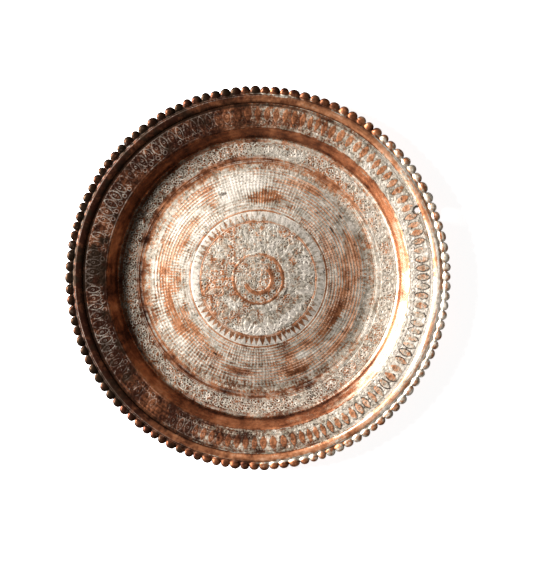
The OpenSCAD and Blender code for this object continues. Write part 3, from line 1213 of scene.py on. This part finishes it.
def roughness_by_place(g, roughness):
    """A roughness that is higher on the wall and changes across floor and flange."""
    in_plan = g.vector("MULTIPLY", g.place, (1, 1, 0))
    radius = g.vector("LENGTH", in_plan, out="Value")
    towards = g.vector("DOT_PRODUCT", g.place, BRIGHT_WAY, out="Value")
    wall = g.math("MULTIPLY", g.step(radius, *WALL_FOOT), g.step(radius, *WALL_TOP, 1.0, 0.0))
    outside = g.step(radius, *FLOOR_TO_FLANGE)
    inside = g.math("SUBTRACT", 1.0, outside)
    on_flange = g.math("MULTIPLY", outside, g.step(towards, -0.125, 0.125, -0.05, 0.09))
    on_floor = g.math("MULTIPLY", inside, g.step(towards, -0.080, 0.080, 0.03, -0.035))
    rough = g.math("MULTIPLY_ADD", wall, 0.07, roughness)
    return g.math("ADD", rough, g.math("ADD", on_flange, on_floor))


def worn_metal(name, roughness):
    """Tin over copper, with chalky dirt in the cuts and soot, from the wear masks, which
    also carry painted light and painted shade.
    """
    g = Graph(name)
    wear_and_painted_light = g.node("ShaderNodeAttribute", attribute_name="wear_and_painted_light")
    parts = g.node("ShaderNodeSeparateColor", (wear_and_painted_light.outputs["Color"],))
    tin, cut, grime_and_shade = parts.outputs[:3]
    warm = wear_and_painted_light.outputs["Alpha"]
    mottle = g.noise(150, 5, 0.62)
    tone = g.noise(420, 4, 0.60)
    fine = g.noise(850, 4)
    grain = g.noise(3200, 2, 0.60)

    tin_mask = g.step(g.spread(tin, (fine, 0.50), (grain, 0.30)), *TIN_EDGE)
    chalk_mask = g.step(g.spread(cut, (fine, 0.45), (grain, 0.25)), *CHALK_EDGE)
    # The grime mask holds soot and painted shade alike; both are mixed in as the soot colour.
    soot_and_shade_mask = g.step(g.spread(grime_and_shade, (fine, 0.45), (grain, 0.20)), *SOOT_EDGE)
    copper = g.ramp(g.spread(warm, (mottle, 0.9), (tone, 0.5)), COPPER_STOPS)
    silver = g.ramp(g.spread(tin, (tone, 0.8), (grain, 0.35), (mottle, 0.5)), TIN_STOPS)
    chalk = g.ramp(g.spread(fine, (tone, 0.8), (grain, 0.5)), CHALK_STOPS)
    colour = g.mix(tin_mask, copper, silver)
    colour = g.mix(chalk_mask, colour, chalk)
    g.link(g.mix(soot_and_shade_mask, colour, SOOT_AND_SHADE), g.shader.inputs["Base Color"])

    metal = g.math("MULTIPLY_ADD", soot_and_shade_mask, 0.03, 0.96)
    metal = g.math("MULTIPLY_ADD", chalk_mask, -0.85, metal)
    g.link(metal, g.shader.inputs["Metallic"])
    rough = g.spread(roughness_by_place(g, roughness), (tone, 0.22), (mottle, 0.10))
    rough = g.math("MULTIPLY_ADD", soot_and_shade_mask, 0.06, rough)
    rough = g.math("MULTIPLY_ADD", chalk_mask, 0.30, rough)
    g.link(rough, g.shader.inputs["Roughness"])

    relief = g.math("MULTIPLY_ADD", grain, 0.35, fine)
    relief = g.math("MULTIPLY_ADD", tin_mask, 0.5, relief)
    bump = {"Strength": 0.35, "Distance": 0.12 * MM, "Height": relief}
    g.link(g.node("ShaderNodeBump", bump).outputs["Normal"], g.shader.inputs["Normal"])
    return g.material


def drawn_iron(name):
    """Soft iron wire: dull grey with drawing lines and specks of rust."""
    g = Graph(name)
    lines = g.noise(260, 3, 0.6)
    rust = g.step(g.noise(90, 4, 0.6), 0.52, 0.66)
    steel = g.ramp(lines, ((0.2, (0.10, 0.09, 0.085)), (0.9, (0.30, 0.28, 0.26))))
    g.link(g.mix(rust, steel, (0.16, 0.06, 0.025)), g.shader.inputs["Base Color"])
    g.link(g.step(rust, 0.0, 1.0, 0.95, 0.2), g.shader.inputs["Metallic"])
    g.link(g.step(lines, 0.2, 0.9, 0.42, 0.68), g.shader.inputs["Roughness"])
    return g.material


# ======== stage, light, camera
def make_floor():
    """A plain, pale surface that the tray lies on, bright enough to look white."""
    mesh = bpy.data.meshes.new("studio_floor")
    half = 3.0
    corners = [(-half, -half, 0), (half, -half, 0), (half, half, 0), (-half, half, 0)]
    mesh.from_pydata(corners, [], [(0, 1, 2, 3)])
    floor = put_in_scene("studio_floor", mesh)
    material = bpy.data.materials.new("studio_floor")
    material.use_nodes = True
    inputs = material.node_tree.nodes["Principled BSDF"].inputs
    for name, value in (
        ("Base Color", (0.93, 0.93, 0.93, 1)), ("Roughness", 0.9),
        ("Specular IOR Level", 0.1), ("Emission Color", (1, 1, 1, 1)),
        ("Emission Strength", 0.9),
    ):
        inputs[name].default_value = value
    mesh.materials.append(material)


WINDOW = Vector((-0.72, 0.167, 0.525))
WINDOW_SIZE = 0.30
WINDOW_WATTS = 35
TRAY_MIDDLE = Vector((0, 0, 0.01))


def light_studio():
    """A small soft window low on the left, and a dim, even room."""
    world = bpy.data.worlds.new("room")
    bpy.context.scene.world = world
    world.use_nodes = True
    background = world.node_tree.nodes["Background"]
    background.inputs["Color"].default_value = (1, 0.98, 0.95, 1)
    background.inputs["Strength"].default_value = 0.07
    light = bpy.data.lights.new("window", "AREA")
    light.shape = "SQUARE"
    light.size = WINDOW_SIZE
    light.energy = WINDOW_WATTS
    lamp = put_in_scene("window", light)
    lamp.location = WINDOW
    lamp.rotation_euler = (TRAY_MIDDLE - WINDOW).to_track_quat("-Z", "Y").to_euler()


EYE = Vector((0.014, 0.051, 0.661))
LOOKED_AT = Vector((0.0060, -0.0032, 0.020))


def set_camera():
    """Nearly square above the tray, a few degrees off towards its +Y side, with +Y up."""
    camera = bpy.data.cameras.new("camera")
    camera.sensor_fit = "HORIZONTAL"
    camera.sensor_width = 36.0
    camera.lens = 64.7
    rig = put_in_scene("camera", camera)
    back = (EYE - LOOKED_AT).normalized()
    right = Vector((0, 1, 0)).cross(back).normalized()
    turn = Matrix((right, back.cross(right), back)).transposed()
    rig.matrix_world = Matrix.Translation(EYE) @ turn.to_4x4()
    bpy.context.scene.camera = rig


# ======== the tray
def dress():
    face_metal = worn_metal("tinned_copper_face", 0.42)
    rim_metal = worn_metal("beaded_copper_rim", 0.40)
    back_metal = worn_metal("fire_darkened_back", 0.46)
    sheet = make_sheet((face_metal, back_metal))
    for piece in sheet:
        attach(piece, "root")
        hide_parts("tray_body", "tin_lining")
    punch_hole(sheet[-1])
    rim = make_rim((rim_metal, back_metal))
    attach(rim, "root")
    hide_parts("scalloped_rim")
    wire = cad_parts["rim_wire"]
    wire.data.materials.clear()
    wire.data.materials.append(drawn_iron("drawn_iron_wire"))


dress()
make_floor()
light_studio()
set_camera()
bpy.context.scene.view_settings.view_transform = "Standard"
